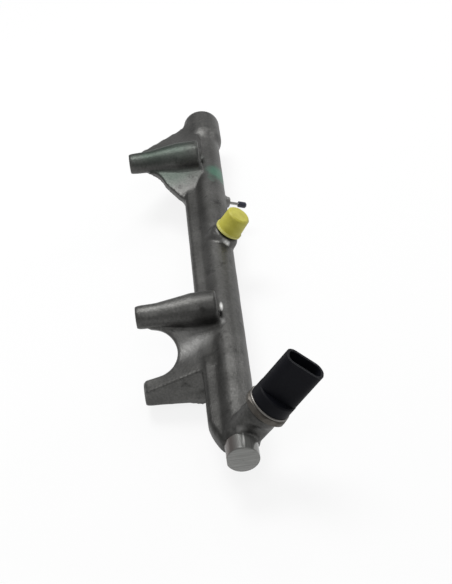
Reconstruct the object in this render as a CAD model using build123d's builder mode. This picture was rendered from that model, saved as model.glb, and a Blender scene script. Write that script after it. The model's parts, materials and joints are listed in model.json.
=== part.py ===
from build123d import *
import math
import os

os.makedirs("parts", exist_ok=True)

# Forged fuel rail with three long mounting arms. Millimetres.
# X runs along the rail from the turned spigot to the head, Y towards the mounting feet, Z up.
# The origin is the centre of the middle arm's foot face.

# Where the rail's axis lies, seen from the middle foot
reach = 58.0
bolt_height = 17.0
middle_from_spigot = 123.5

# Tube
tube_r = 11.4
bore_r = 4.75
spigot_r = 10.3
spigot_length = 12.0
shoulder_r = 11.7
turned_clear_r = 20.0
head_r = 14.2
head_length = 28.0
head_cone = 12.0
rail_length = 383.0
head_round = 3.5

# Rib along the arms' side
rib_half = 6.6
rib_crest = 18.8
rib_end = 12.0
rib_nose = 20.0
rib_after_far = 20.0
rib_round = 4.0
rib_hollow_r = 8.0

# Arms and their bolts
bolt_hole_r = 4.5
foot_r = 7.6
foot_chamfer = 0.6
boss_r = 11.3
near_boss_r = 9.2
boss_gap = 4.5
cone_top = 21.0
cone_foot = 44.0
spotface_depth = 2.4
spotface_r = 7.25
far_from_spigot = 310.0
near_from_spigot = 86.0

# Webs between arms and rib
web_half = 3.4
web_back = 2.5
wedge_end = 108.0
wedge_top = 8.1
cutout_bottom = 33.4
web_hollow = 12.0
near_slope = 2.0

# Pressure sensor and its boss
sensor_from_spigot = 19.5
sensor_tilt = 50.4
sensor_boss_r = 11.0
sensor_seat = 25.7
sensor_thread_r = 6.0
sensor_thread_depth = 13.0
flange_across = 28.0
flange_thick = 4.2
flange_clocking = 30.0
flange_corner = 0.8
ring_r = 13.9
ring_thick = 1.4
housing_r = 13.2
housing_base = 8.5
plug_wide = 26.2
plug_thick = 14.0
plug_corner = 6.2
plug_end = 67.3
plug_wall = 1.9
plug_depth = 17.0
plug_clocking = 13.6
terminal_wide = 1.5
terminal_thick = 0.8
terminal_pitch = 5.0
terminal_root = 4.0
terminal_short = 7.5

# Inlet port and its cap
port_from_spigot = 212.5
port_tilt = 53.2
port_boss_r = 9.2
port_boss_flare = 1.2
port_thread_r = 7.0
port_thread_end = 29.0
port_neck_start = 15.6
cone_seat_r = 4.2
cone_seat_depth = 3.6
drilling_r = 1.5
cap_clearance = 0.15
cap_start = 16.8
cap_end = 32.2
cap_top_r = 8.6
cap_base_r = 9.2
cap_rim_r = 9.8
cap_rim_thick = 1.6

# Outlets at the back
first_outlet = 60.0
outlet_pitch = 84.0
outlet_count = 4
outlet_boss_r = 9.6
outlet_boss_end = 17.0
outlet_end = 30.0
outlet_chamfer = 1.0

# Ball pin beside the port
pin_from_spigot = 272.9
pin_tilt = -20.0
pin_boss_r = 4.2
pin_boss_end = 15.0
pin_r = 1.1
pin_end = 28.0
pin_depth = 3.5
tip_r = 2.3
tip_length = 6.5

# Screw plug in the head
plug_thread_r = 6.5
plug_length = 14.0
plug_recess = 2.5
hex_across = 5.0
hex_depth = 6.0

spigot_x = -middle_from_spigot
axis_y = -reach
axis_z = -bolt_height
far_x = spigot_x + far_from_spigot
near_x = spigot_x + near_from_spigot
near_z = axis_z - bolt_height
rail_axis = Axis((0, axis_y, axis_z), (1, 0, 0))
rail_plane = Plane(origin=(spigot_x, axis_y, axis_z), x_dir=(1, 0, 0), z_dir=(0, -1, 0))

# Directions of the sensor, the port and the pin, square to the rail
sensor_c = math.cos(math.radians(sensor_tilt))
sensor_s = math.sin(math.radians(sensor_tilt))
sensor_foot = Vector(spigot_x + sensor_from_spigot, axis_y, axis_z)
sensor_way = Vector(0, -sensor_c, sensor_s)
sensor_plane = Plane(origin=sensor_foot, x_dir=sensor_way, z_dir=(1, 0, 0))
sensor_axis = Axis(sensor_foot, sensor_way)
turn_c = math.cos(math.radians(plug_clocking))
turn_s = math.sin(math.radians(plug_clocking))
plug_across = Vector(-turn_s, -turn_c * sensor_s, -turn_c * sensor_c)

port_c = math.cos(math.radians(port_tilt))
port_s = math.sin(math.radians(port_tilt))
port_foot = Vector(spigot_x + port_from_spigot, axis_y, axis_z)
port_way = Vector(0, -port_c, port_s)
port_plane = Plane(origin=port_foot, x_dir=port_way, z_dir=(1, 0, 0))
port_axis = Axis(port_foot, port_way)

pin_c = math.cos(math.radians(pin_tilt))
pin_s = math.sin(math.radians(pin_tilt))
pin_foot = Vector(spigot_x + pin_from_spigot, axis_y, axis_z)
pin_way = Vector(0, -pin_c, pin_s)
pin_plane = Plane(origin=pin_foot, x_dir=pin_way, z_dir=(1, 0, 0))
pin_axis = Axis(pin_foot, pin_way)

# The three arm planes hold the foot's centre at their origin, Y along the bolt
middle_plane = Plane(origin=(0, 0, 0), x_dir=(0, 1, 0), z_dir=(1, 0, 0))
far_plane = Plane(origin=(far_x, 0, 0), x_dir=(0, 1, 0), z_dir=(1, 0, 0))
near_plane = Plane(origin=(near_x, 0, near_z), x_dir=(0, 1, 0), z_dir=(1, 0, 0))
arms = [(middle_plane, boss_r), (far_plane, boss_r), (near_plane, near_boss_r)]
boss_end = boss_gap - reach

# Web between the middle and the near arm, a little behind the plane of their bolt axes
web_run = Vector(-near_x, 0, -near_z)
web_length = web_run.length
web_normal = web_run.cross(Vector(0, 1, 0)).normalized()
web_foot = Vector(near_x, 0, near_z) - web_normal * web_back
web_plane = Plane(origin=web_foot, x_dir=web_run, z_dir=web_normal)
cutout_y = cutout_bottom - reach
wedge_root = axis_z + rib_half + 2.8

with BuildPart() as rail_body:
    # rib with a rounded crest and a rounded near end
    with BuildSketch(Plane.XY.offset(axis_z - rib_half)):
        with BuildLine():
            l1 = Polyline(
                (far_x + rib_after_far, axis_y),
                (far_x + rib_after_far, axis_y + rib_crest + 0.4),
                (spigot_x + rib_end + rib_nose, axis_y + rib_crest - 0.6),
            )
            l2 = ThreePointArc(
                l1 @ 1,
                (spigot_x + rib_end + 8.0, axis_y + rib_crest - 4.0),
                (spigot_x + rib_end + 1, axis_y + spigot_r + 1.1),
            )
            Polyline(l2 @ 1, (spigot_x + rib_end + 1, axis_y), l1 @ 0)
        make_face()
    extrude(amount=2 * rib_half)
    crest = rail_body.edges().filter_by(
        lambda e: e.center().Y > axis_y + 12 and abs(abs(e.center().Z - axis_z) - rib_half) < 0.1
    )
    fillet(crest, radius=rib_round)

    # wide hollows that lead from the rib into the tube
    touch = tube_r / (tube_r + rib_hollow_r)
    hollow_y = math.sqrt((tube_r + rib_hollow_r) ** 2 - (rib_half + rib_hollow_r) ** 2)
    with BuildSketch(Plane.YZ.offset(spigot_x + rib_end + 5)):
        with BuildLine():
            h1 = TangentArc(
                (axis_y + hollow_y, axis_z + rib_half),
                (axis_y + touch * hollow_y, axis_z + touch * (rib_half + rib_hollow_r)),
                tangent=(-1, 0),
            )
            h2 = TangentArc(
                (axis_y + hollow_y, axis_z - rib_half),
                (axis_y + touch * hollow_y, axis_z - touch * (rib_half + rib_hollow_r)),
                tangent=(-1, 0),
            )
            Line(h1 @ 0, h2 @ 0)
            Line(h1 @ 1, h2 @ 1)
        make_face()
    extrude(amount=far_from_spigot + rib_after_far - rib_end - 5)

    # tube, spigot, shoulder and head in one turn
    with BuildSketch(rail_plane):
        with BuildLine():
            b1 = Polyline(
                (0, 0),
                (0, spigot_r - foot_chamfer),
                (foot_chamfer, spigot_r),
                (spigot_length, spigot_r),
            )
            b2 = ThreePointArc(
                b1 @ 1,
                (spigot_length + 1.6, shoulder_r - 0.35),
                (spigot_length + 5, shoulder_r),
            )
            b3 = Polyline(
                b2 @ 1,
                (spigot_length + 14, tube_r),
                (rail_length - head_length - head_cone, tube_r),
                (rail_length - head_length - head_cone + 3, tube_r + 0.3),
                (rail_length - head_length - 3, head_r - 0.5),
                (rail_length - head_length, head_r),
                (rail_length - head_round, head_r),
            )
            b4 = ThreePointArc(
                b3 @ 1,
                (rail_length - head_round * 0.29, head_r - head_round * 0.29),
                (rail_length, head_r - head_round),
            )
            Polyline(b4 @ 1, (rail_length, 0), (0, 0))
        make_face()
    revolve(axis=rail_axis)

    # wedge that carries the near arm, with its flat end towards the spigot
    with BuildSketch(Plane.YZ.offset(near_x - foot_r)):
        with BuildLine():
            Polyline(
                (-1, near_z + wedge_top),
                (axis_y + 5, wedge_root),
                (axis_y + 5, near_z - foot_r + 0.4),
                (axis_y + 22, near_z - foot_r - 0.6),
                (axis_y + 32, near_z - foot_r + 2.4),
                (-1, near_z - foot_r + 4.8),
                (-1, near_z + wedge_top),
            )
        make_face()
    extrude(amount=wedge_end - near_from_spigot + foot_r)

    # web between the middle and the near arm
    with BuildSketch(web_plane):
        with BuildLine():
            Polyline(
                (0, -8),
                (0, axis_y + 3),
                (web_length, axis_y + 3),
                (web_length, -8),
                (0, -8),
            )
        make_face()
    extrude(amount=web_half, both=True)

    # hollow that leads from the top of the wedge into the web
    steep = web_run.Z / web_run.X
    web_front = near_z + (web_half - web_back) * web_length / web_run.X
    for y, top in ((-1, near_z + wedge_top), (axis_y + 5, wedge_root)):
        fold_x = near_x + (top - web_front) / steep
        with BuildSketch(Plane(origin=(fold_x, y, top), x_dir=(1, 0, 0), z_dir=(0, -1, 0))):
            rise_x = web_hollow * web_run.X / web_length
            rise_z = web_hollow * web_run.Z / web_length
            with BuildLine():
                TangentArc((-web_hollow, 0), (rise_x, rise_z), tangent=(1, 0))
                Polyline((rise_x, rise_z), (rise_x, rise_z - 2), (0, -2), (-web_hollow, -2), (-web_hollow, 0))
            make_face()
    loft(ruled=True)

    # cut-out between the two arms, square to the web
    with BuildSketch(web_plane):
        with BuildLine():
            w1 = Polyline(
                (web_length - foot_r - 0.9, -8),
                (web_length - foot_r - 0.3, 6),
                (foot_r - 0.4, 6),
                (foot_r + 0.4, -1.5),
                (foot_r + near_slope, -11.5),
            )
            w2 = ThreePointArc(
                w1 @ 1,
                (foot_r + near_slope + 5.6, cutout_y + 3.4),
                (web_length / 2 - 0.6, cutout_y),
            )
            ThreePointArc(
                w2 @ 1,
                (web_length - foot_r - 5.6, cutout_y + 5.3),
                w1 @ 0,
            )
        make_face()
    extrude(amount=web_length, both=True, mode=Mode.SUBTRACT)

    # lower gusset of the far arm, sloping down to the rib
    with BuildSketch(Plane(origin=(far_x, axis_y, -4.65), x_dir=(-32.4, 0, -10), z_dir=(10, 0, -32.4))):
        with BuildLine():
            g1 = Polyline((-2, 3), (-2, 47), (4, 45))
            g2 = ThreePointArc(g1 @ 1, (13.1, 35.8), (20.5, 32.5))
            g3 = ThreePointArc(g2 @ 1, (28.5, 27.2), (37.5, 20.4))
            Polyline(g3 @ 1, (45, 17.5), (51, 14), (51, 3), (-2, 3))
        make_face()
    extrude(amount=web_half, both=True)

    # upper gusset from the far arm to the head
    with BuildSketch(Plane(origin=(far_x, axis_y, -3.5), x_dir=(1, 0, -0.128), z_dir=(0.128, 0, 1))):
        with BuildLine():
            Polyline(
                (-2, 3),
                (-2, 50),
                (14, 51.5),
                (20, 48.6),
                (26, 42.4),
                (39.2, 29.3),
                (49.2, 19.5),
                (54, 15.8),
                (62, 12.6),
                (66, 9),
                (66, 3),
                (-2, 3),
            )
        make_face()
    extrude(amount=web_half, both=True)

    # bolt bosses that taper to the feet
    for plane, root_r in arms:
        with BuildSketch(plane):
            with BuildLine():
                Polyline(
                    (boss_end, 0),
                    (boss_end, root_r - 0.5),
                    (boss_end + 0.8, root_r),
                    (cone_top - reach, root_r),
                    (cone_foot - reach, foot_r + 0.3),
                    (-foot_chamfer, foot_r),
                    (0, foot_r - foot_chamfer),
                    (0, 0),
                    (boss_end, 0),
                )
            make_face()
        revolve(axis=Axis(plane.origin, (0, 1, 0)))

    # hollows that lead from the arms into their webs, sunk a little so that they end in both
    sunk = 0.3
    for centre_x, run, level in (
        (0, web_run * -1, web_half - web_back - sunk),
        (far_x, Vector(-32.4, 0, -10), web_half - 4.44 - sunk),
        (far_x, Vector(1, 0, -0.128), web_half - 3.47 - sunk),
    ):
        side = Vector(0, -1 if run.X > 0 else 1, 0)
        for y, root, r in (
            (boss_end + 1, boss_r - sunk, 6.0),
            (cone_top - reach, boss_r - sunk, 6.0),
            (cone_foot - reach, foot_r + 0.3 - sunk, 2.5),
        ):
            away = math.sqrt((root + r) ** 2 - (level + r) ** 2)
            part = root / (root + r)
            with BuildSketch(Plane(origin=(centre_x, y, 0), x_dir=run, z_dir=side)):
                with BuildLine():
                    TangentArc((away, level), (part * away, part * (level + r)), tangent=(-1, 0))
                    Polyline(
                        (part * away, part * (level + r)),
                        (part * away, level - 1),
                        (away, level - 1),
                        (away, level),
                    )
                make_face()
        loft(ruled=True)

    # boss of the sensor
    with BuildSketch(sensor_plane):
        with BuildLine():
            Polyline(
                (0, 0),
                (0, sensor_boss_r - 0.6),
                (sensor_seat - 1, sensor_boss_r + 0.3),
                (sensor_seat, sensor_boss_r - 0.7),
                (sensor_seat, 0),
                (0, 0),
            )
        make_face()
    revolve(axis=sensor_axis)

    # room cut free by turning the spigot
    with BuildSketch(rail_plane):
        with Locations((spigot_length / 2 - 1, (spigot_r + turned_clear_r) / 2)):
            Rectangle(spigot_length + 2, turned_clear_r - spigot_r)
    revolve(axis=rail_axis, mode=Mode.SUBTRACT)

    # inlet port with a conical boss
    with BuildSketch(port_plane):
        with BuildLine():
            Polyline(
                (0, 0),
                (0, port_boss_r + port_boss_flare + 1),
                (tube_r, port_boss_r + port_boss_flare),
                (port_neck_start - 1, port_boss_r),
                (port_neck_start, port_thread_r - 0.9),
                (port_neck_start + 2.5, port_thread_r - 0.9),
                (port_neck_start + 3.4, port_thread_r),
                (port_thread_end - outlet_chamfer, port_thread_r),
                (port_thread_end, port_thread_r - outlet_chamfer),
                (port_thread_end, 0),
                (0, 0),
            )
        make_face()
    revolve(axis=port_axis)

    # small boss of the pin
    with BuildSketch(pin_plane):
        with BuildLine():
            Polyline(
                (0, 0),
                (0, pin_boss_r + 1),
                (10, pin_boss_r + 0.6),
                (pin_boss_end - 0.8, pin_boss_r),
                (pin_boss_end, pin_boss_r - 0.8),
                (pin_boss_end, 0),
                (0, 0),
            )
        make_face()
    revolve(axis=pin_axis)

    # outlets at the back
    for i in range(outlet_count):
        outlet_x = spigot_x + first_outlet + i * outlet_pitch
        outlet_plane = Plane(
            origin=(outlet_x, axis_y, axis_z), x_dir=(0, 0, -1), z_dir=(1, 0, 0)
        )
        with BuildSketch(outlet_plane):
            with BuildLine():
                Polyline(
                    (0, 0),
                    (0, outlet_boss_r + 0.6),
                    (outlet_boss_end - 1, outlet_boss_r),
                    (outlet_boss_end, outlet_boss_r - 1),
                    (outlet_boss_end, port_thread_r - 0.9),
                    (outlet_boss_end + 2.2, port_thread_r - 0.9),
                    (outlet_boss_end + 3.1, port_thread_r),
                    (outlet_end - outlet_chamfer, port_thread_r),
                    (outlet_end, port_thread_r - outlet_chamfer),
                    (outlet_end, 0),
                    (0, 0),
                )
            make_face()
        revolve(axis=Axis((outlet_x, axis_y, axis_z), (0, 0, -1)))

    # bolt holes and the spotfaces that graze the tube
    for plane, root_r in arms:
        with BuildSketch(plane):
            with Locations(((boss_end) / 2, bolt_hole_r / 2)):
                Rectangle(-boss_end + 2, bolt_hole_r)
        revolve(axis=Axis(plane.origin, (0, 1, 0)), mode=Mode.SUBTRACT)
        with BuildSketch(plane):
            with Locations((boss_end - spotface_depth / 2, spotface_r / 2)):
                Rectangle(spotface_depth, spotface_r)
        revolve(axis=Axis(plane.origin, (0, 1, 0)), mode=Mode.SUBTRACT)

    # long bore from the head, closed before the spigot
    with BuildSketch(rail_plane):
        with BuildLine():
            Polyline(
                (15, 0),
                (15 + bore_r * 0.6, bore_r),
                (rail_length - plug_recess - plug_length - 1.5, bore_r),
                (rail_length - plug_recess - plug_length, plug_thread_r),
                (rail_length, plug_thread_r),
                (rail_length, 0),
                (15, 0),
            )
        make_face()
    revolve(axis=rail_axis, mode=Mode.SUBTRACT)

    # threaded hole of the sensor, with its drilling into the bore
    with BuildSketch(sensor_plane):
        with BuildLine():
            Polyline(
                (0, 0),
                (0, drilling_r),
                (sensor_seat - sensor_thread_depth - 1, drilling_r),
                (sensor_seat - sensor_thread_depth, sensor_thread_r),
                (sensor_seat, sensor_thread_r),
                (sensor_seat, 0),
                (0, 0),
            )
        make_face()
    revolve(axis=sensor_axis, mode=Mode.SUBTRACT)

    # drilling and cone seat of the inlet port
    with BuildSketch(port_plane):
        with BuildLine():
            Polyline(
                (0, 0),
                (0, drilling_r),
                (port_thread_end - cone_seat_depth, drilling_r),
                (port_thread_end, cone_seat_r),
                (port_thread_end, 0),
                (0, 0),
            )
        make_face()
    revolve(axis=port_axis, mode=Mode.SUBTRACT)

    # drillings and cone seats of the outlets
    for i in range(outlet_count):
        outlet_x = spigot_x + first_outlet + i * outlet_pitch
        outlet_plane = Plane(
            origin=(outlet_x, axis_y, axis_z), x_dir=(0, 0, -1), z_dir=(1, 0, 0)
        )
        with BuildSketch(outlet_plane):
            with BuildLine():
                Polyline(
                    (0, 0),
                    (0, drilling_r),
                    (outlet_end - cone_seat_depth, drilling_r),
                    (outlet_end, cone_seat_r),
                    (outlet_end, 0),
                    (0, 0),
                )
            make_face()
        revolve(axis=Axis((outlet_x, axis_y, axis_z), (0, 0, -1)), mode=Mode.SUBTRACT)

    # blind hole for the pin
    with BuildSketch(pin_plane):
        with Locations((pin_boss_end - pin_depth / 2, pin_r / 2)):
            Rectangle(pin_depth, pin_r)
    revolve(axis=pin_axis, mode=Mode.SUBTRACT)

    # flat strip on the spigot, on the arms' side
    with BuildSketch(Plane.YZ.offset(spigot_x)):
        with Locations((axis_y + spigot_r + 4.4, axis_z)):
            Rectangle(10, 20)
    extrude(amount=spigot_length - 1.0, mode=Mode.SUBTRACT)
rail_body.part.label = "rail_body"
export_step(rail_body.part, "parts/rail_body.step")

# Screw plug that closes the bore at the head, with a hexagon socket
with BuildPart() as bore_plug:
    with BuildSketch(Plane.YZ.offset(spigot_x + rail_length - plug_recess)):
        with Locations((axis_y, axis_z)):
            Circle(plug_thread_r)
    extrude(amount=-plug_length)
    with BuildSketch(Plane.YZ.offset(spigot_x + rail_length - plug_recess)):
        with Locations((axis_y, axis_z)):
            RegularPolygon(hex_across / 2, 6, major_radius=False)
    extrude(amount=-hex_depth, mode=Mode.SUBTRACT)
bore_plug.part.label = "bore_plug"
export_step(bore_plug.part, "parts/bore_plug.step")

# Sensor body: thread, hexagon flange and the neck under the housing
with BuildPart() as sensor_body:
    with BuildSketch(sensor_plane):
        with BuildLine():
            Polyline(
                (sensor_seat - sensor_thread_depth + 1, 0),
                (sensor_seat - sensor_thread_depth + 1, sensor_thread_r - 1),
                (sensor_seat - sensor_thread_depth + 2, sensor_thread_r),
                (sensor_seat, sensor_thread_r),
                (sensor_seat, sensor_boss_r - 0.6),
                (sensor_seat + 1, sensor_boss_r - 0.6),
                (sensor_seat + 1, 0),
                (sensor_seat - sensor_thread_depth + 1, 0),
            )
        make_face()
    revolve(axis=sensor_axis)
    with BuildSketch(
        Plane(
            origin=sensor_foot + sensor_way * (sensor_seat + 1),
            x_dir=(1, 0, 0),
            z_dir=sensor_way,
        )
    ):
        RegularPolygon(flange_across / 2, 6, major_radius=False, rotation=flange_clocking)
    extrude(amount=flange_thick)
    rim = flange_across / 2 + flange_corner
    with BuildSketch(sensor_plane):
        with BuildLine():
            Polyline(
                (sensor_seat + 1, rim - 1.2),
                (sensor_seat + 1.9, rim),
                (sensor_seat + flange_thick + 0.1, rim),
                (sensor_seat + flange_thick + 1, rim - 1.2),
                (sensor_seat + flange_thick + 3, rim - 1.2),
                (sensor_seat + flange_thick + 3, rim + 4),
                (sensor_seat - 1, rim + 4),
                (sensor_seat - 1, rim - 1.2),
                (sensor_seat + 1, rim - 1.2),
            )
        make_face()
    revolve(axis=sensor_axis, mode=Mode.SUBTRACT)
sensor_body.part.label = "sensor_body"
export_step(sensor_body.part, "parts/sensor_body.step")

# Light crimp ring between the flange and the black housing
ring_start = sensor_seat + 1 + flange_thick
with BuildPart() as sensor_ring:
    with BuildSketch(sensor_plane):
        with BuildLine():
            Polyline(
                (ring_start, 0),
                (ring_start, ring_r - 0.4),
                (ring_start + 0.4, ring_r),
                (ring_start + ring_thick - 0.4, ring_r),
                (ring_start + ring_thick, ring_r - 0.4),
                (ring_start + ring_thick, 0),
                (ring_start, 0),
            )
        make_face()
    revolve(axis=sensor_axis)
sensor_ring.part.label = "sensor_ring"
export_step(sensor_ring.part, "parts/sensor_ring.step")

# Black housing: round base and the open flat-oval connector
housing_start = ring_start + ring_thick
oval_start = housing_start + housing_base
with BuildPart() as sensor_housing:
    with BuildSketch(sensor_plane):
        with BuildLine():
            Polyline(
                (housing_start, 0),
                (housing_start, housing_r),
                (oval_start - 0.8, housing_r),
                (oval_start, housing_r - 0.8),
                (oval_start, 0),
                (housing_start, 0),
            )
        make_face()
    revolve(axis=sensor_axis)
    with BuildSketch(
        Plane(origin=sensor_foot + sensor_way * oval_start, x_dir=plug_across, z_dir=sensor_way)
    ):
        RectangleRounded(plug_wide, plug_thick, plug_corner)
    extrude(amount=plug_end - oval_start)
    with BuildSketch(
        Plane(origin=sensor_foot + sensor_way * plug_end, x_dir=plug_across, z_dir=sensor_way)
    ):
        RectangleRounded(plug_wide - 2 * plug_wall, plug_thick - 2 * plug_wall, plug_corner - plug_wall)
    extrude(amount=-plug_depth, mode=Mode.SUBTRACT)
    with BuildSketch(
        Plane(origin=sensor_foot + sensor_way * (plug_end - plug_depth), x_dir=plug_across, z_dir=sensor_way)
    ):
        with Locations((-terminal_pitch, 0), (0, 0), (terminal_pitch, 0)):
            Rectangle(terminal_wide, terminal_thick)
    extrude(amount=-terminal_root, mode=Mode.SUBTRACT)
sensor_housing.part.label = "sensor_housing"
export_step(sensor_housing.part, "parts/sensor_housing.step")

# Three flat terminals that stand in the connector
terminal_length = terminal_root + plug_depth - terminal_short
terminal_plane = Plane(
    origin=sensor_foot + sensor_way * (plug_end - plug_depth - terminal_root),
    x_dir=plug_across,
    z_dir=sensor_way,
)
with BuildPart() as terminal_1:
    with BuildSketch(terminal_plane):
        with Locations((-terminal_pitch, 0)):
            Rectangle(terminal_wide, terminal_thick)
    extrude(amount=terminal_length)
terminal_1.part.label = "terminal_1"
export_step(terminal_1.part, "parts/terminal_1.step")

with BuildPart() as terminal_2:
    with BuildSketch(terminal_plane):
        Rectangle(terminal_wide, terminal_thick)
    extrude(amount=terminal_length)
terminal_2.part.label = "terminal_2"
export_step(terminal_2.part, "parts/terminal_2.step")

with BuildPart() as terminal_3:
    with BuildSketch(terminal_plane):
        with Locations((terminal_pitch, 0)):
            Rectangle(terminal_wide, terminal_thick)
    extrude(amount=terminal_length)
terminal_3.part.label = "terminal_3"
export_step(terminal_3.part, "parts/terminal_3.step")

# Yellow protective cap over the inlet port
with BuildPart() as inlet_cap:
    with BuildSketch(port_plane):
        with BuildLine():
            Polyline(
                (cap_start, port_thread_r + cap_clearance),
                (cap_start, cap_rim_r),
                (cap_start + cap_rim_thick, cap_rim_r),
                (cap_start + cap_rim_thick, cap_base_r),
                (cap_end - 1.2, cap_top_r),
                (cap_end, cap_top_r - 1.2),
                (cap_end, 0),
                (port_thread_end, 0),
                (port_thread_end, port_thread_r + cap_clearance),
                (cap_start, port_thread_r + cap_clearance),
            )
        make_face()
    revolve(axis=port_axis)
inlet_cap.part.label = "inlet_cap"
export_step(inlet_cap.part, "parts/inlet_cap.step")

# Pin pressed into its boss
with BuildPart() as side_pin:
    with BuildSketch(pin_plane):
        with Locations(((pin_boss_end - pin_depth + pin_end - tip_length + 3) / 2, pin_r / 2)):
            Rectangle(pin_end - tip_length + 3 - pin_boss_end + pin_depth, pin_r)
    revolve(axis=pin_axis)
side_pin.part.label = "side_pin"
export_step(side_pin.part, "parts/side_pin.step")

# Dark tip on the pin
with BuildPart() as pin_tip:
    with BuildSketch(pin_plane):
        with BuildLine():
            Polyline(
                (pin_end - tip_length, pin_r),
                (pin_end - tip_length, tip_r - 0.3),
                (pin_end - tip_length + 0.4, tip_r),
                (pin_end - 1, tip_r),
                (pin_end, tip_r - 1),
                (pin_end, 0),
                (pin_end - tip_length + 3, 0),
                (pin_end - tip_length + 3, pin_r),
                (pin_end - tip_length, pin_r),
            )
        make_face()
    revolve(axis=pin_axis)
pin_tip.part.label = "pin_tip"
export_step(pin_tip.part, "parts/pin_tip.step")
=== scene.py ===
import bpy
import json
import math
import numpy as np
from mathutils import Matrix, Vector, noise

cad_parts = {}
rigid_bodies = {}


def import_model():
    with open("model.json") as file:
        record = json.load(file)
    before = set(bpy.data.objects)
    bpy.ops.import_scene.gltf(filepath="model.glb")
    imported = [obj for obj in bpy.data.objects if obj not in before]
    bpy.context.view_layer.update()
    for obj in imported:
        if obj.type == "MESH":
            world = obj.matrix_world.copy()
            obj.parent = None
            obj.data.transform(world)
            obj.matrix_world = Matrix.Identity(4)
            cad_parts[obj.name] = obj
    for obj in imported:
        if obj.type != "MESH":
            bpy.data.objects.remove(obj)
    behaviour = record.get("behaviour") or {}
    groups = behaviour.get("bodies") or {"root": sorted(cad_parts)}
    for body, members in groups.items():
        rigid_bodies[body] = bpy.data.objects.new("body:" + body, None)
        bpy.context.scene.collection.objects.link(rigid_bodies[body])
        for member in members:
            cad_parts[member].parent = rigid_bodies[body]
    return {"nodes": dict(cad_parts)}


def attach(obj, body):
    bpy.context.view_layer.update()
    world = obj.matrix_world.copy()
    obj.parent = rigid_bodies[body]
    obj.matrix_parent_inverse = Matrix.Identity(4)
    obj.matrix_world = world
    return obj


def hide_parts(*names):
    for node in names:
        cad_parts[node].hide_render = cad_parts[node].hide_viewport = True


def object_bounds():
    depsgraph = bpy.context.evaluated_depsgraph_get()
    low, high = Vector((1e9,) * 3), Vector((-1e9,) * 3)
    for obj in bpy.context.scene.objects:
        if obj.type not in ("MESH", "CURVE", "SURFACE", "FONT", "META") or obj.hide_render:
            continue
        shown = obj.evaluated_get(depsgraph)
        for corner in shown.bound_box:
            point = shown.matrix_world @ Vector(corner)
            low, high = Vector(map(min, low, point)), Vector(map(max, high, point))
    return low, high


# Start from an empty file, so that only the rail and its stage are in the picture.
bpy.ops.object.select_all(action="SELECT")
bpy.ops.object.delete()
scene = bpy.context.scene
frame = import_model()
nodes = frame["nodes"]
cad_low, cad_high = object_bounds()

# ---- Forged rail body ----
# Tube, rib, arms, webs and bosses are one forging, pressed in dies, blasted, drilled and turned.
# It is dull grey with slow stains, bright where it is turned, with green paint beside the far arm.
# First the grain of a blasted or moulded surface, for all finishes: a fine height and slow clouds.
grain = bpy.data.node_groups.new("grain", "ShaderNodeTree")
for socket_name in ("Grain size", "Cloud size"):
    grain.interface.new_socket(socket_name, in_out="INPUT", socket_type="NodeSocketFloat")
for socket_name in ("Height", "Clouds"):
    grain.interface.new_socket(socket_name, in_out="OUTPUT", socket_type="NodeSocketFloat")
g_in = grain.nodes.new("NodeGroupInput")
g_out = grain.nodes.new("NodeGroupOutput")
g_coord = grain.nodes.new("ShaderNodeTexCoord")
g_fine = grain.nodes.new("ShaderNodeTexNoise")
g_fine.inputs["Detail"].default_value = 3.0
g_fine.inputs["Roughness"].default_value = 0.65
g_slow = grain.nodes.new("ShaderNodeTexNoise")
g_slow.inputs["Detail"].default_value = 4.0
g_slow.inputs["Roughness"].default_value = 0.6
g_ramp = grain.nodes.new("ShaderNodeMapRange")
g_ramp.inputs["From Min"].default_value = 0.35
g_ramp.inputs["From Max"].default_value = 0.65
grain.links.new(g_coord.outputs["Object"], g_fine.inputs["Vector"])
grain.links.new(g_coord.outputs["Object"], g_slow.inputs["Vector"])
grain.links.new(g_in.outputs["Grain size"], g_fine.inputs["Scale"])
grain.links.new(g_in.outputs["Cloud size"], g_slow.inputs["Scale"])
grain.links.new(g_slow.outputs["Fac"], g_ramp.inputs["Value"])
grain.links.new(g_fine.outputs["Fac"], g_out.inputs["Height"])
grain.links.new(g_ramp.outputs["Result"], g_out.inputs["Clouds"])


def new_finish(name, grain_size, cloud_size):
    """A material with the grain in it: returns it, its tree, its shader and the grain."""
    finish = bpy.data.materials.new(name)
    finish.use_nodes = True
    tree = finish.node_tree
    texture = tree.nodes.new("ShaderNodeGroup")
    texture.node_tree = grain
    texture.inputs["Grain size"].default_value = grain_size
    texture.inputs["Cloud size"].default_value = cloud_size
    return finish, tree, tree.nodes["Principled BSDF"], texture


def ramp(tree, value, low, high, at_low=0.0, at_high=1.0):
    """A mask that is at_low where the value is low, at_high where it is high, straight between."""
    node = tree.nodes.new("ShaderNodeMapRange")
    node.inputs["From Min"].default_value = low
    node.inputs["From Max"].default_value = high
    node.inputs["To Min"].default_value = at_low
    node.inputs["To Max"].default_value = at_high
    tree.links.new(value, node.inputs["Value"])
    return node.outputs["Result"]


def blend(tree, share, under, over):
    """The colour over lies on the colour under, as thick as share says."""
    node = tree.nodes.new("ShaderNodeMix")
    node.data_type = "RGBA"
    tree.links.new(share, node.inputs["Factor"])
    for colour, socket in ((under, node.inputs["A"]), (over, node.inputs["B"])):
        if isinstance(colour, tuple):
            socket.default_value = (*colour, 1)
        else:
            tree.links.new(colour, socket)
    return node.outputs["Result"]


def shade(tree, colour, share):
    """The colour made darker or lighter by share."""
    node = tree.nodes.new("ShaderNodeVectorMath")
    node.operation = "SCALE"
    tree.links.new(colour, node.inputs[0])
    tree.links.new(share, node.inputs["Scale"])
    return node.outputs["Vector"]


def combine(tree, operation, *values):
    """One sum on masks and plain numbers."""
    node = tree.nodes.new("ShaderNodeMath")
    node.operation = operation
    for value, socket in zip(values, node.inputs):
        if isinstance(value, float):
            socket.default_value = value
        else:
            tree.links.new(value, socket)
    return node.outputs["Value"]


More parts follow.
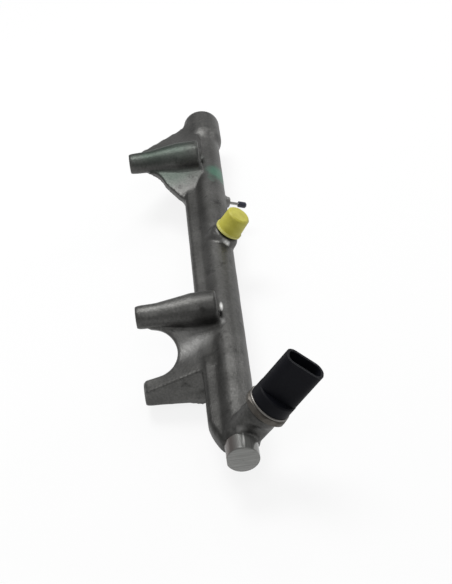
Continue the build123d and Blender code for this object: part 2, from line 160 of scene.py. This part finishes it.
def measure(tree, operation, spot, other=None):
    """A distance or a length as a value, or a spot that is moved or stretched."""
    node = tree.nodes.new("ShaderNodeVectorMath")
    node.operation = operation
    tree.links.new(spot, node.inputs[0])
    if other:
        node.inputs[1].default_value = other
    return node.outputs["Value" if operation in ("DISTANCE", "LENGTH") else "Vector"]


def patches(tree, spot, scale, detail, roughness=0.5):
    """Uneven patches, from fine to slow."""
    node = tree.nodes.new("ShaderNodeTexNoise")
    node.inputs["Scale"].default_value = scale
    node.inputs["Detail"].default_value = detail
    node.inputs["Roughness"].default_value = roughness
    tree.links.new(spot, node.inputs["Vector"])
    return node.outputs["Fac"]


steel, s_tree, s_bsdf, s_grain = new_finish("forged_steel", 620.0, 26.0)
s_coord = s_tree.nodes.new("ShaderNodeTexCoord")
spot = s_coord.outputs["Object"]
s_split = s_tree.nodes.new("ShaderNodeSeparateXYZ")
s_tree.links.new(spot, s_split.inputs["Vector"])
spot_x, spot_y, spot_z = s_split.outputs["X"], s_split.outputs["Y"], s_split.outputs["Z"]
s_facing = s_tree.nodes.new("ShaderNodeSeparateXYZ")
s_tree.links.new(s_coord.outputs["Normal"], s_facing.inputs["Vector"])
# two greys by the clouds, with the light and dark specks of the blasting and dark stains and pits
tone = blend(s_tree, s_grain.outputs["Clouds"], (0.066, 0.0655, 0.063), (0.112, 0.111, 0.107))
tone = shade(s_tree, tone, ramp(s_tree, s_grain.outputs["Height"], 0.3, 0.7, 0.80, 1.20))
stains = patches(s_tree, spot, 95.0, 7.0, 0.68)
tone = shade(s_tree, tone, ramp(s_tree, stains, 0.57, 0.70, 1.0, 0.42))
# painted shade along the valley between the tube and the rib, strongest towards the spigot
valley_shade = combine(
    s_tree,
    "MULTIPLY",
    ramp(s_tree, spot_y, -0.0560, -0.0505),
    ramp(s_tree, spot_y, -0.0370, -0.0440),
)
valley_shade = combine(s_tree, "MULTIPLY", valley_shade, ramp(s_tree, spot_x, -0.030, 0.030, 0.52, 0.18))
tone = blend(s_tree, valley_shade, tone, (0.018, 0.0175, 0.0165))
# a painted highlight on the near web: a lighter patch where the light falls on it
from_web_highlight = measure(s_tree, "DISTANCE", spot, (-0.020, -0.034, -0.012))
tone = blend(s_tree, ramp(s_tree, from_web_highlight, 0.017, 0.004, 0.0, 0.75), tone, (0.185, 0.184, 0.180))
# green paint: a thin veil on top of the far arm and its lower gusset, and a blot on the tube
from_far_arm = measure(s_tree, "DISTANCE", spot, (0.183, -0.028, 0.004))
veil_edge = combine(s_tree, "MULTIPLY_ADD", stains, 0.030, from_far_arm)
veil = combine(
    s_tree,
    "MULTIPLY",
    ramp(s_tree, veil_edge, 0.048, 0.030, 0.0, 0.60),
    s_facing.outputs["Z"],
)
veil.node.use_clamp = True
tone = blend(s_tree, veil, tone, (0.036, 0.058, 0.044))
from_blot = measure(s_tree, "DISTANCE", spot, (0.171, -0.0665, -0.0095))
blot_edge = combine(s_tree, "MULTIPLY_ADD", patches(s_tree, spot, 130.0, 3.0), 0.016, from_blot)
tone = blend(s_tree, ramp(s_tree, blot_edge, 0.0215, 0.0125, 0.0, 0.75), tone, (0.09, 0.22, 0.155))
# turned zone: the spigot and its end face, close round the rail's axis
s_flat = s_tree.nodes.new("ShaderNodeCombineXYZ")
s_tree.links.new(spot_y, s_flat.inputs["Y"])
s_tree.links.new(spot_z, s_flat.inputs["Z"])
from_axis = measure(s_tree, "DISTANCE", s_flat.outputs["Vector"], (0, -0.058, -0.017))
turned = combine(
    s_tree,
    "MULTIPLY",
    combine(s_tree, "LESS_THAN", spot_x, -0.1112),
    combine(s_tree, "LESS_THAN", from_axis, 0.01034),
)
# it has the marks of facing, and rust on the side of the arms
marks = patches(s_tree, measure(s_tree, "MULTIPLY", spot, (60, 90, 1500)), 1.0, 2.0)
turned_tone = blend(s_tree, marks, (0.110, 0.112, 0.107), (0.290, 0.292, 0.282))
rust = combine(
    s_tree,
    "MULTIPLY",
    ramp(s_tree, spot_y, -0.0570, -0.0525, 0.0, 0.85),
    ramp(s_tree, s_facing.outputs["X"], -0.9, -0.5),
)
turned_tone = blend(s_tree, rust, turned_tone, (0.095, 0.080, 0.074))
tone = blend(s_tree, turned, tone, turned_tone)
# painted highlights: beside the middle arm's inner end, on the bosses of the port and the pin,
# behind the spigot and in a streak along it, and faint painted light in the hollow at the sensor's
# foot
painted_highlight = None
for painted_highlight_place, stretch, reach, strength in (
    ((0.0072, -0.0564, -0.0055), (0.75, 2.9, 1), 0.0040, 0.80),
    ((-0.0078, -0.0564, -0.0054), (0.8, 1.5, 1), 0.0034, 0.14),
    ((0.0797, -0.0641, -0.0049), (1, 1, 1), 0.0021, 0.35),
    ((0.0792, -0.0651, -0.0062), (1, 1, 1), 0.0023, 0.80),
    ((0.0787, -0.0661, -0.0077), (1, 1, 1), 0.0025, 1.0),
    ((0.1494, -0.0712, -0.0218), (1, 1, 1), 0.0090, 0.22),
    ((-0.1112, -0.0595, -0.0040), (1, 0.7, 1), 0.0036, 0.16),
    ((-0.1165, -0.0599, -0.0069), (0.22, 1.9, 1), 0.0017, 0.60),
    ((-0.1118, -0.0668, -0.0030), (1, 1, 1), 0.0050, 0.07),
):
    offset = measure(s_tree, "MULTIPLY", measure(s_tree, "SUBTRACT", spot, painted_highlight_place), stretch)
    from_place = measure(s_tree, "LENGTH", offset)
    painted_highlight_spot = ramp(s_tree, from_place, reach, reach * 0.1, 0.0, strength)
    painted_highlight = combine(s_tree, "MAXIMUM", painted_highlight, painted_highlight_spot) if painted_highlight else painted_highlight_spot
# the painted highlights lie over the tone as a near-white colour
tone = blend(s_tree, painted_highlight, tone, (0.85, 0.85, 0.83))
s_tree.links.new(tone, s_bsdf.inputs["Base Color"])
# less metallic where the highlights are painted, so that they show pale under any lamp
metal = combine(s_tree, "MULTIPLY_ADD", turned, -0.3, ramp(s_tree, painted_highlight, 0.0, 1.0, 0.9, 0.35))
s_tree.links.new(metal, s_bsdf.inputs["Metallic"])
s_tree.links.new(ramp(s_tree, turned, 0.0, 1.0, 0.46, 0.20), s_bsdf.inputs["Roughness"])
s_bump = s_tree.nodes.new("ShaderNodeBump")
s_bump.inputs["Distance"].default_value = 0.0004
s_tree.links.new(ramp(s_tree, turned, 0.0, 1.0, 0.42, 0.01), s_bump.inputs["Strength"])
s_tree.links.new(s_grain.outputs["Height"], s_bump.inputs["Height"])
s_tree.links.new(s_bump.outputs["Normal"], s_bsdf.inputs["Normal"])

# The shape is a copy of the solid, remeshed fine, its edges and corners rounded as dies leave them.
# What is machined keeps its shape: feet, bolt holes, seats of sensor, cap and pin, the head's end.
spigot_x, axis_y, axis_z = -0.1235, -0.058, -0.017
same_point, skin_grid = 0.000002, 0.00098
rounding_passes, melting_passes, settling_passes = 22, 90, 4
forging = bpy.data.objects.new("forging", nodes["rail_body"].data.copy())
scene.collection.objects.link(forging)
bpy.ops.object.select_all(action="DESELECT")
forging.select_set(True)
bpy.context.view_layer.objects.active = forging
bpy.ops.object.mode_set(mode="EDIT")
bpy.ops.mesh.select_all(action="SELECT")
bpy.ops.mesh.remove_doubles(threshold=same_point)
bpy.ops.object.mode_set(mode="OBJECT")
remesh = forging.modifiers.new("remesh", "REMESH")
remesh.mode = "VOXEL"
remesh.voxel_size = skin_grid
bpy.ops.object.modifier_apply(modifier="remesh")


def read_points(piece):
    """The piece's corners, as rows of x, y and z."""
    flat = np.empty(len(piece.data.vertices) * 3)
    piece.data.vertices.foreach_get("co", flat)
    return flat.reshape(-1, 3)


def fade(values, low, high):
    """0 at low, 1 at high, straight between."""
    return np.clip((values - low) / (high - low), 0, 1)


def height_on(points, tilt):
    """How far points stand out from the rail's axis, along a boss tilted up from its side."""
    return -(points[:, 1] - axis_y) * math.cos(tilt) + (points[:, 2] - axis_z) * math.sin(tilt)


def distance_beside(points, foot_x, tilt):
    """How far points lie from the axis of a boss that stands foot_x along the rail."""
    across = (points[:, 1] - axis_y) * math.sin(tilt) + (points[:, 2] - axis_z) * math.cos(tilt)
    return np.hypot(points[:, 0] - spigot_x - foot_x, across)


def smooth_forging(name, weights, passes):
    """Smooths the forging, as strongly at each corner as its weight says."""
    if weights is not None:
        group = forging.vertex_groups.new(name=name)
        for i, weight in enumerate(weights):
            if weight > 0:
                group.add([i], float(weight), "REPLACE")
    smooth = forging.modifiers.new("smooth", "SMOOTH")
    smooth.factor = 0.5
    smooth.iterations = passes
    smooth.vertex_group = name
    bpy.ops.object.modifier_apply(modifier="smooth")


points = read_points(forging)
softness = np.ones(len(points))
# bosses of sensor, port and pin: foot along the rail, tilt, seat's height, reach to the side
for foot_x, tilt, seat, reach in (
    (0.0195, math.radians(50.4), 0.0225, 0.0170),
    (0.2125, math.radians(53.2), 0.0135, 0.0120),
    (0.2729, math.radians(-20.0), 0.0125, 0.0060),
):
    near_boss = distance_beside(points, foot_x, tilt) < reach
    softness[near_boss] *= 1 - fade(height_on(points, tilt)[near_boss], seat - 0.003, seat)
# outlets at the back
outlet_places = [0.060 + 0.084 * i for i in range(4)]
straight_back = math.radians(-90)
for foot_x in outlet_places:
    near_boss = distance_beside(points, foot_x, straight_back) < 0.011
    softness[near_boss] *= 1 - fade(height_on(points, straight_back)[near_boss], 0.013, 0.0155)
# feet and bolt holes
bolt_places, bolt_hole_r = ((0, 0), (0.1865, 0), (-0.0375, -0.034)), 0.0045
for bolt_x, bolt_z in bolt_places:
    from_bolt = np.hypot(points[:, 0] - bolt_x, points[:, 2] - bolt_z)
    softness[from_bolt < 0.0054] = 0
    on_foot = from_bolt < 0.0085
    softness[on_foot] *= 1 - fade(points[on_foot, 1], -0.004, -0.001)
# spigot and the head's end
from_axis = np.hypot(points[:, 1] - axis_y, points[:, 2] - axis_z)
behind_spigot = fade(points[:, 0], spigot_x + 0.012, spigot_x + 0.0145)
softness *= np.maximum(behind_spigot, fade(from_axis, 0.0118, 0.0130))
softness *= 1 - fade(points[:, 0], 0.2545, 0.2575)
smooth_forging("softness", softness, rounding_passes)
# softer still: the wedge beside the middle arm and the foot of the sensor's boss
from_wedge = np.linalg.norm(points - np.array((-0.024, -0.046, -0.009)), axis=1)
from_foot = np.linalg.norm(points - np.array((-0.1115, -0.0690, -0.0030)), axis=1)
softer = np.maximum(1 - fade(from_wedge, 0.011, 0.020), 0.6 - 0.6 * fade(from_foot, 0.006, 0.012))
softer *= fade(points[:, 2], -0.023, -0.018)
# and the thin edge behind the near arm, where the cut-out runs into it
from_thin = np.linalg.norm(points - np.array((-0.0200, -0.0100, -0.0420)), axis=1)
thin_edge = 0.6 * (1 - fade(from_thin, 0.012, 0.018)) * fade(points[:, 2], -0.034, -0.038)
softer = np.maximum(softer, thin_edge)
# the hollow at the sensor's foot is filled a little first
from_hollow = np.linalg.norm(points - np.array((-0.1115, -0.0675, -0.0005)), axis=1)
hollow_fill = 0.0014
points[:, 0] -= hollow_fill * (1 - fade(from_hollow, 0.002, 0.0065)) * softness
forging.data.vertices.foreach_set("co", points.ravel())
smooth_forging("melted", softer * softness, melting_passes)
# out again by what the rounding took, with the uneven skin of a hammered and blasted forging
rounding_loss, slow_waves, fine_waves = 0.00033, 0.00014, 0.00005
points = read_points(forging)
normals = np.empty(len(points) * 3)
forging.data.vertices.foreach_get("normal", normals)
normals = normals.reshape(-1, 3)
waves = np.array([
    rounding_loss
    + slow_waves * noise.noise(Vector(p) * 70)
    + fine_waves * noise.noise(Vector(p) * 260)
    for p in points
])
points += normals * (waves * softness)[:, None]
forging.data.vertices.foreach_set("co", points.ravel())
smooth_forging("softness", None, settling_passes)
# the cores of the spigot and of the outlets' ends shrink, to lie inside the turned shapes below
points = read_points(forging)
spigot_core_r, outlet_core_r = 0.0092, 0.0048
core_y, core_z = points[:, 1] - axis_y, points[:, 2] - axis_z
from_axis = np.hypot(core_y, core_z)
core = (points[:, 0] < spigot_x + 0.0122) & (from_axis < 0.0110)
shrink = np.minimum(1, spigot_core_r / np.maximum(from_axis, 1e-6))
points[core, 1] = axis_y + (core_y * shrink)[core]
points[core, 2] = axis_z + (core_z * shrink)[core]
points[core, 0] = np.maximum(points[core, 0], spigot_x + 0.001)
for foot_x in outlet_places:
    core_x = points[:, 0] - spigot_x - foot_x
    from_axis = np.hypot(core_x, core_y)
    core = (from_axis < 0.0090) & (points[:, 2] < axis_z - 0.0172)
    shrink = np.minimum(1, outlet_core_r / np.maximum(from_axis, 1e-6))
    points[core, 0] = spigot_x + foot_x + (core_x * shrink)[core]
    points[core, 1] = axis_y + (core_y * shrink)[core]
    points[core, 2] = np.maximum(points[core, 2], axis_z - 0.0255)
# the bolt holes are drilled: true circles, with flat feet
for bolt_x, bolt_z in bolt_places:
    out_x, out_z = points[:, 0] - bolt_x, points[:, 2] - bolt_z
    from_bolt = np.hypot(out_x, out_z)
    bored = (from_bolt < 0.0052) & (points[:, 1] > -0.056)
    stretch = bolt_hole_r / np.maximum(from_bolt, 1e-6)
    points[bored, 0] = bolt_x + (out_x * stretch)[bored]
    points[bored, 2] = bolt_z + (out_z * stretch)[bored]
    flat = (from_bolt < 0.0072) & (points[:, 1] > -0.0007)
    points[flat, 1] = 0
forging.data.vertices.foreach_set("co", points.ravel())
forging.data.materials.clear()
forging.data.materials.append(steel)
forging.data.polygons.foreach_set("use_smooth", [True] * len(forging.data.polygons))


def spin_profile(name, profile, centre, way, steps):
    """Spins a closed outline of (along, radius) corners round an axis through centre."""
    side = way.orthogonal().normalized()
    bpy.ops.object.select_all(action="DESELECT")
    bpy.ops.mesh.primitive_circle_add(vertices=len(profile), radius=0.001)
    piece = bpy.context.object
    piece.name = name
    for corner, (a, r) in zip(piece.data.vertices, profile):
        corner.co = centre + way * a + side * r
    bpy.ops.object.mode_set(mode="EDIT")
    bpy.ops.mesh.select_all(action="SELECT")
    bpy.ops.mesh.spin(steps=steps, angle=math.tau, center=centre, axis=way)
    bpy.ops.mesh.select_all(action="SELECT")
    bpy.ops.mesh.remove_doubles(threshold=same_point)
    bpy.ops.mesh.normals_make_consistent(inside=False)
    bpy.ops.object.mode_set(mode="OBJECT")
    bpy.ops.object.shade_smooth_by_angle(angle=math.radians(32))
    piece.data.materials.append(steel)
    return piece


# The turned spigot has a chamfered end face and a flat strip on the side of the arms.
spigot_r, strip_depth = 0.0103, 0.0097
spigot_profile = [
    (0, 0.0002),
    (0, 0.0096),
    (0.0002, 0.0100),
    (0.0006, spigot_r),
    (0.0110, spigot_r),
    (0.0135, spigot_r),
    (0.0135, 0.0002),
]
rail_start, rail_way = Vector((spigot_x, axis_y, axis_z)), Vector((1, 0, 0))
spigot = spin_profile("spigot", spigot_profile, rail_start, rail_way, 96)
points = read_points(spigot)
strip = (points[:, 0] < spigot_x + 0.0111) & (points[:, 1] > axis_y + strip_depth)
points[strip, 1] = axis_y + strip_depth
spigot.data.vertices.foreach_set("co", points.ravel())
# The outlets end in a cone seat and a thread of six ridges.
crest_r, root_r, pitch = 0.0070, 0.0062, 0.0015
thread = [(0.0165, 0.0015), (0.0264, 0.0015), (0.0300, 0.0042), (0.0300, 0.0061), (0.0292, 0.0069)]
for i in range(6):
    thread += [
        (0.0289 - pitch * i, crest_r),
        (0.0287 - pitch * i, crest_r),
        (0.0280 - pitch * i, root_r),
    ]
thread += [(0.0195, 0.0061), (0.0165, 0.0061)]
turned_parts = [spigot]
for i, foot_x in enumerate(outlet_places):
    outlet_foot = Vector((spigot_x + foot_x, axis_y, axis_z))
    outlet_way = Vector((0, 0, -1))
    turned_parts.append(spin_profile(f"outlet_{i + 1}", thread, outlet_foot, outlet_way, 44))
bpy.ops.object.select_all(action="DESELECT")
for part in turned_parts:
    part.select_set(True)
forging.select_set(True)
bpy.context.view_layer.objects.active = forging
bpy.ops.object.join()
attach(forging, "root")
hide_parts("rail_body")

# ---- Screw plug and pin ----
# The plug closes the long bore at the head, the pin stands pressed into its boss beside the port.
# Both are bright machined steel without stains.


def clouded_finish(name, grain_size, cloud_size, darker, lighter):
    """A finish whose colour drifts slowly between two close tones."""
    finish, tree, bsdf, texture = new_finish(name, grain_size, cloud_size)
    tree.links.new(
        blend(tree, texture.outputs["Clouds"], darker, lighter),
        bsdf.inputs["Base Color"],
    )
    return finish, bsdf


def dress(name, finish):
    """Gives a CAD node its finish."""
    nodes[name].data.materials.clear()
    nodes[name].data.materials.append(finish)


machined, m_bsdf = clouded_finish(
    "machined_steel", 900.0, 60.0, (0.34, 0.335, 0.32), (0.42, 0.415, 0.40)
)
m_bsdf.inputs["Metallic"].default_value = 1.0
m_bsdf.inputs["Roughness"].default_value = 0.3
for name in ("bore_plug", "side_pin"):
    dress(name, machined)

# ---- Sensor body and crimp ring ----
# The sensor is screwed into its boss by a hexagon flange of dull plated metal with a brown tint.
# A lighter satin ring above the flange holds the housing.
plated, p_bsdf = clouded_finish(
    "plated_steel", 700.0, 90.0, (0.060, 0.054, 0.047), (0.125, 0.117, 0.106)
)
p_bsdf.inputs["Metallic"].default_value = 0.9
p_bsdf.inputs["Roughness"].default_value = 0.42
dress("sensor_body", plated)
satin, r_bsdf = clouded_finish(
    "satin_ring", 900.0, 70.0, (0.10, 0.093, 0.086), (0.21, 0.203, 0.192)
)
r_bsdf.inputs["Metallic"].default_value = 1.0
r_bsdf.inputs["Roughness"].default_value = 0.4
dress("sensor_ring", satin)

# ---- Connector housing and terminals ----
# The housing is moulded in bluish-black plastic with a faint grain.
# Three tinned terminals stand in its flat-oval mouth.
black, b_tree, b_bsdf, b_grain = new_finish("black_plastic", 1200.0, 40.0)
b_tone = blend(
    b_tree, b_grain.outputs["Clouds"], (0.0034, 0.0037, 0.0056), (0.0056, 0.0060, 0.0084)
)
b_tree.links.new(b_tone, b_bsdf.inputs["Base Color"])
b_bsdf.inputs["Roughness"].default_value = 0.55
b_bsdf.inputs["Specular IOR Level"].default_value = 0.09
b_bump = b_tree.nodes.new("ShaderNodeBump")
b_bump.inputs["Strength"].default_value = 0.15
b_bump.inputs["Distance"].default_value = 0.0002
b_tree.links.new(b_grain.outputs["Height"], b_bump.inputs["Height"])
b_tree.links.new(b_bump.outputs["Normal"], b_bsdf.inputs["Normal"])
dress("sensor_housing", black)
tinned, t_bsdf = clouded_finish("tinned", 1500.0, 300.0, (0.50, 0.45, 0.34), (0.60, 0.56, 0.46))
t_bsdf.inputs["Metallic"].default_value = 1.0
t_bsdf.inputs["Roughness"].default_value = 0.35
for name in ("terminal_1", "terminal_2", "terminal_3"):
    dress(name, tinned)

# ---- Protective cap ----
# A soft cap of matte yellow plastic, pushed over the inlet port and a little uneven in tone.
# Its rim stands off the port and is thinner, and a paler band is painted there for the light
# shining through it.
yellow, y_tree, y_bsdf, y_grain = new_finish("yellow_plastic", 500.0, 120.0)
y_tone = blend(y_tree, y_grain.outputs["Clouds"], (0.39, 0.355, 0.042), (0.49, 0.46, 0.068))
cap_tilt, rim_height = math.radians(53.2), 0.0184
y_coord = y_tree.nodes.new("ShaderNodeTexCoord")
cap_way = (0, -math.cos(cap_tilt), math.sin(cap_tilt))
y_along = y_tree.nodes.new("ShaderNodeVectorMath")
y_along.operation = "DOT_PRODUCT"
y_along.inputs[1].default_value = cap_way
y_tree.links.new(y_coord.outputs["Object"], y_along.inputs[0])
rim_end = -axis_y * math.cos(cap_tilt) + axis_z * math.sin(cap_tilt) + rim_height
# painted light: a paler band at the rim, for light shining through the thin plastic
y_rim_painted_light = ramp(y_tree, y_along.outputs["Value"], rim_end + 0.0006, rim_end - 0.0002, 0.0, 0.7)
y_tree.links.new(blend(y_tree, y_rim_painted_light, y_tone, (0.66, 0.64, 0.20)), y_bsdf.inputs["Base Color"])
y_bsdf.inputs["Roughness"].default_value = 0.5
y_bsdf.inputs["Specular IOR Level"].default_value = 0.35
y_bevel = y_tree.nodes.new("ShaderNodeBevel")
y_bevel.samples = 6
y_bevel.inputs["Radius"].default_value = 0.0012
y_tree.links.new(y_bevel.outputs["Normal"], y_bsdf.inputs["Normal"])
dress("inlet_cap", yellow)

# ---- Dark tip of the pin ----
# A smooth bluish-black sleeve, pushed over the pin's end.
dark, d_bsdf = clouded_finish(
    "dark_tip", 900.0, 200.0, (0.012, 0.014, 0.026), (0.020, 0.023, 0.040)
)
d_bsdf.inputs["Roughness"].default_value = 0.35
dress("pin_tip", dark)

# ---- Floor ----
# White paper, just under the outlets.
# It shows white to the camera and in the metal, and keeps the rail's shadow.
floor_z = cad_low.z - 0.0005
bpy.ops.mesh.primitive_plane_add(size=16, location=(0, 0, floor_z))
floor = bpy.context.object
floor.name = "floor"
paper = bpy.data.materials.new("paper")
paper.use_nodes = True
f_nodes = paper.node_tree.nodes
f_links = paper.node_tree.links
f_bsdf = f_nodes["Principled BSDF"]
f_bsdf.inputs["Base Color"].default_value = (0.8, 0.8, 0.8, 1)
f_bsdf.inputs["Roughness"].default_value = 0.9
f_bsdf.inputs["Specular IOR Level"].default_value = 0.0
f_path = f_nodes.new("ShaderNodeLightPath")
f_seen = combine(
    paper.node_tree,
    "MAXIMUM",
    f_path.outputs["Is Camera Ray"],
    f_path.outputs["Is Glossy Ray"],
)
f_seen = combine(paper.node_tree, "MAXIMUM", f_seen, f_path.outputs["Is Transmission Ray"])
white_share = 0.85
f_share = combine(paper.node_tree, "MULTIPLY", f_seen, white_share)
f_white = f_nodes.new("ShaderNodeEmission")
f_white.inputs["Strength"].default_value = 1.0
f_mix = f_nodes.new("ShaderNodeMixShader")
f_links.new(f_share, f_mix.inputs["Fac"])
f_links.new(f_bsdf.outputs["BSDF"], f_mix.inputs[1])
f_links.new(f_white.outputs["Emission"], f_mix.inputs[2])
f_links.new(f_mix.outputs["Shader"], f_nodes["Material Output"].inputs["Surface"])
floor.data.materials.append(paper)

# ---- Light ----
# A plain grey room with four lamps aimed at the rail: a soft one overhead towards the head, a weak
# one above the camera, and two past the head: one low on the sensor's side, one slim and higher.
world = bpy.data.worlds.new("world")
scene.world = world
world.use_nodes = True
w_background = world.node_tree.nodes["Background"]
w_background.inputs["Color"].default_value = (0.42, 0.42, 0.42, 1)
w_background.inputs["Strength"].default_value = 1.0
centre = Vector((0.06, -0.04, -0.015))
for name, shape, width, length, watts, lamp_place in (
    ("top_lamp", "RECTANGLE", 0.5, 0.5, 9.0, (0.34, 0.18, 1.05)),
    ("front_lamp", "DISK", 0.35, 0.35, 1.5, (-0.62, 0.02, 0.95)),
    ("side_lamp", "RECTANGLE", 0.3, 0.5, 1.8, (0.70, -0.85, 0.45)),
    ("streak_lamp", "RECTANGLE", 0.06, 0.4, 1.5, (0.77, -0.34, 0.95)),
):
    lamp_data = bpy.data.lights.new(name, "AREA")
    lamp_data.shape = shape
    lamp_data.size = width
    lamp_data.size_y = length
    lamp_data.energy = watts
    lamp = bpy.data.objects.new(name, lamp_data)
    lamp.location = centre + Vector(lamp_place)
    lamp.rotation_euler = (centre - lamp.location).to_track_quat("-Z", "Y").to_euler()
    scene.collection.objects.link(lamp)

# ---- Camera ----
# It stands past the spigot's end, above and in front of the rail, a few degrees rolled,
# as the photo's camera did. Colours are shown as they are, without a film look.
camera_data = bpy.data.cameras.new("camera")
camera = bpy.data.objects.new("camera", camera_data)
scene.collection.objects.link(camera)
camera_data.sensor_fit = "VERTICAL"
camera_data.sensor_height = 24
camera_data.lens = 52.41
camera_data.clip_start = 0.01
camera_data.clip_end = 50
camera_place = Vector((-0.64869, -0.06249, 0.53065))
right = Vector((-0.0802, -0.9914, -0.1035)).normalized()
back = Vector((-0.7809, -0.0020, 0.6246)).normalized()
back = (back - right * back.dot(right)).normalized()
up = back.cross(right)
camera.matrix_world = Matrix((
    (right.x, up.x, back.x, camera_place.x),
    (right.y, up.y, back.y, camera_place.y),
    (right.z, up.z, back.z, camera_place.z),
    (0, 0, 0, 1),
))
scene.camera = camera

scene.view_settings.view_transform = "Standard"
